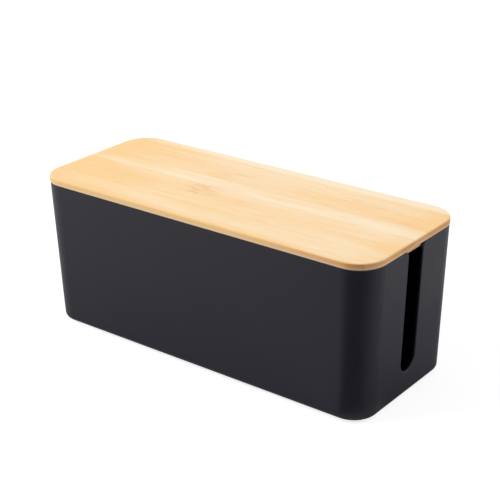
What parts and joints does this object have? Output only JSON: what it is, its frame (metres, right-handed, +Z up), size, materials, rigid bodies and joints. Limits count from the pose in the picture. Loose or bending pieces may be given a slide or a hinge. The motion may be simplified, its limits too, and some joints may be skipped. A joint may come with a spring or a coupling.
{
  "type": "cable management box",
  "caption": "Long box with rounded corners that hides a power strip and its leads, with a lift-off bamboo lid and a round-ended cable slot down each end wall.",
  "frame": {"origin": "middle of the footprint, at the level that the feet rest on", "axes": "+X along the box, +Y to its back, +Z up through the lid"},
  "size_m": [0.325, 0.131, 0.1315],
  "materials": {
    "black_abs": "satin black moulded ABS",
    "grey_rubber": "matt moulded rubber",
    "foam_tape": "matt double-sided tape",
    "bamboo_board": "sanded bamboo under a thin matt lacquer",
    "bamboo_step": "sanded bamboo"
  },
  "bodies": {
    "box": {"body_shell": "black_abs", "foot_front_left": "grey_rubber", "foot_front_right": "grey_rubber", "foot_back_left": "grey_rubber", "foot_back_right": "grey_rubber", "foot_tape_front_left": "foam_tape", "foot_tape_front_right": "foam_tape", "foot_tape_back_left": "foam_tape", "foot_tape_back_right": "foam_tape"},
    "lid": {"lid_top_strip_1": "bamboo_board", "lid_top_strip_2": "bamboo_board", "lid_top_strip_3": "bamboo_board", "lid_top_strip_4": "bamboo_board", "lid_top_strip_5": "bamboo_board", "lid_top_strip_6": "bamboo_board", "lid_top_strip_7": "bamboo_board", "lid_top_strip_8": "bamboo_board", "lid_step_strip_1": "bamboo_step", "lid_step_strip_2": "bamboo_step", "lid_step_strip_3": "bamboo_step", "lid_step_strip_4": "bamboo_step", "lid_step_strip_5": "bamboo_step", "lid_step_strip_6": "bamboo_step", "lid_step_strip_7": "bamboo_step"}
  },
  "joints": [
    {"name": "lid_lift", "type": "slide", "parent": "box", "child": "lid", "axis": [0, 0, 1], "range_m": [0, 0.15]}
  ]
}
